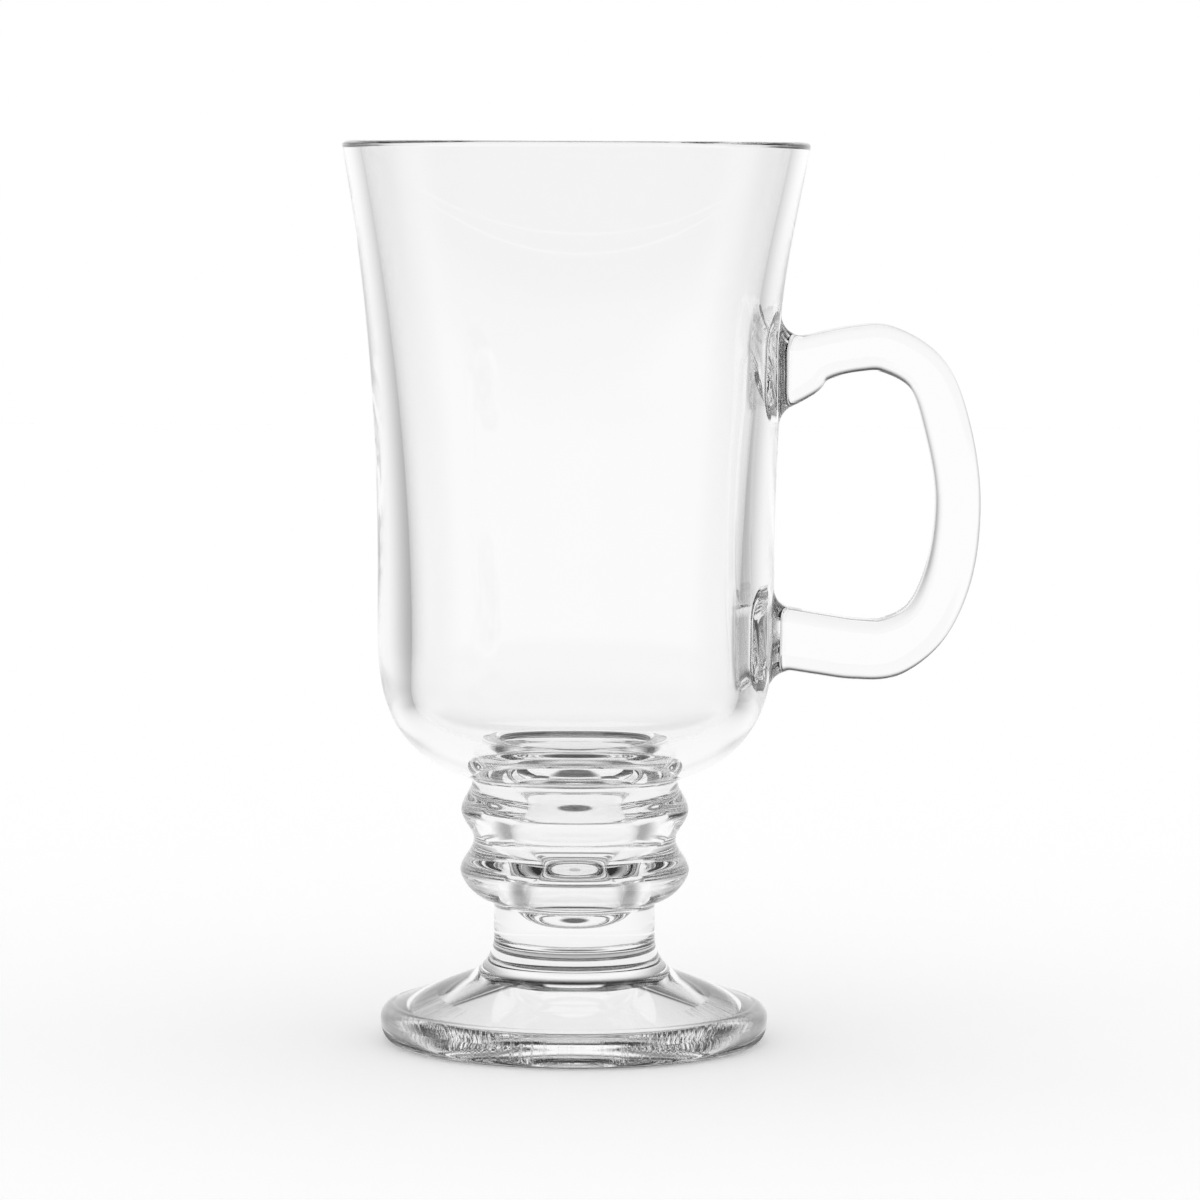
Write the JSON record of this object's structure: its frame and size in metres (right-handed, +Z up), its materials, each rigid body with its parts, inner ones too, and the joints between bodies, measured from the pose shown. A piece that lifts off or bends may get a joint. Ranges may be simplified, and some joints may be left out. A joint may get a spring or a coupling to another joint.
{
  "type": "footed glass mug",
  "caption": "Clear glass mug with a flared bowl, a knopped stem, a dished round foot and a strap handle, for a hot drink topped with cream.",
  "frame": {"origin": "on the resting plane, on the axis of bowl, stem and foot", "axes": "+Z up along the axis of the glass, +X towards the handle, Y across the handle's flat sides"},
  "size_m": [0.1042, 0.0766, 0.1473],
  "materials": {
    "clear_glass": "fire-polished clear soda-lime glass"
  },
  "bodies": {
    "root": {"bowl": "clear_glass", "stem": "clear_glass", "foot": "clear_glass", "handle": "clear_glass"}
  },
  "joints": []
}
